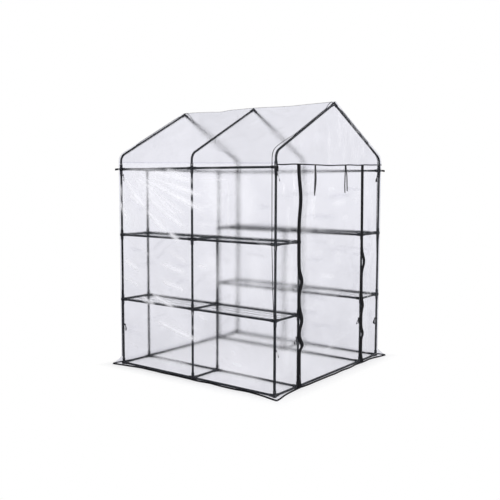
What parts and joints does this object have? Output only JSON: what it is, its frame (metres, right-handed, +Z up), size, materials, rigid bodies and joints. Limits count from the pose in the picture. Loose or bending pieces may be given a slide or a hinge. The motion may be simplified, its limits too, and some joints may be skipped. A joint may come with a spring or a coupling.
{
  "type": "walk-in greenhouse",
  "caption": "Walk-in garden greenhouse: tube frame with moulded connectors, wire shelves on both sides, clear film cover with a pitched roof and a zipped roll-up door.",
  "frame": {"origin": "on the ground at the middle of the footprint", "axes": "+Z up, -Y out through the door, +X to the right of a viewer who faces the door"},
  "size_m": [1.4986, 1.4986, 1.9519],
  "materials": {
    "frame_tube": "satin powder coat on thin steel tube",
    "connector_plastic": "moulded plastic",
    "shelf_wire": "plastic-coated wire",
    "clear_film": "clear flexible vinyl film",
    "binding_tape": "woven edge tape",
    "zip_tape": "woven tape with a coil",
    "zip_slider": "painted",
    "webbing": "woven ribbon",
    "tie_ribbon": "woven ribbon"
  },
  "bodies": {
    "root": {"left_outer_posts": "frame_tube", "right_outer_posts": "frame_tube", "left_inner_posts": "frame_tube", "right_inner_posts": "frame_tube", "left_ground_rails": "frame_tube", "right_ground_rails": "frame_tube", "left_lower_rails": "frame_tube", "right_lower_rails": "frame_tube", "left_upper_rails": "frame_tube", "right_upper_rails": "frame_tube", "eave_rails": "frame_tube", "back_header_tubes": "frame_tube", "aisle_ground_tubes": "frame_tube", "front_arch": "frame_tube", "middle_arch": "frame_tube", "back_arch": "frame_tube", "ground_connectors": "connector_plastic", "lower_connectors": "connector_plastic", "upper_connectors": "connector_plastic", "eave_connectors": "connector_plastic", "ridge_connectors": "connector_plastic", "left_lower_shelves": "shelf_wire", "right_lower_shelves": "shelf_wire", "left_upper_shelves": "shelf_wire", "right_upper_shelves": "shelf_wire", "left_wall_film": "clear_film", "right_wall_film": "clear_film", "back_film": "clear_film", "front_gable_film": "clear_film", "front_left_film": "clear_film", "front_right_film": "clear_film", "door_film": "clear_film", "left_roof_film": "clear_film", "right_roof_film": "clear_film", "skirt_film": "clear_film", "left_door_zip": "zip_tape", "right_door_zip": "zip_tape", "zip_sliders": "zip_slider", "front_binding": "binding_tape", "back_binding": "binding_tape", "header_binding": "binding_tape", "hem_binding": "binding_tape", "door_straps": "webbing", "guy_loops": "webbing", "frame_ties": "tie_ribbon"}
  },
  "joints": []
}
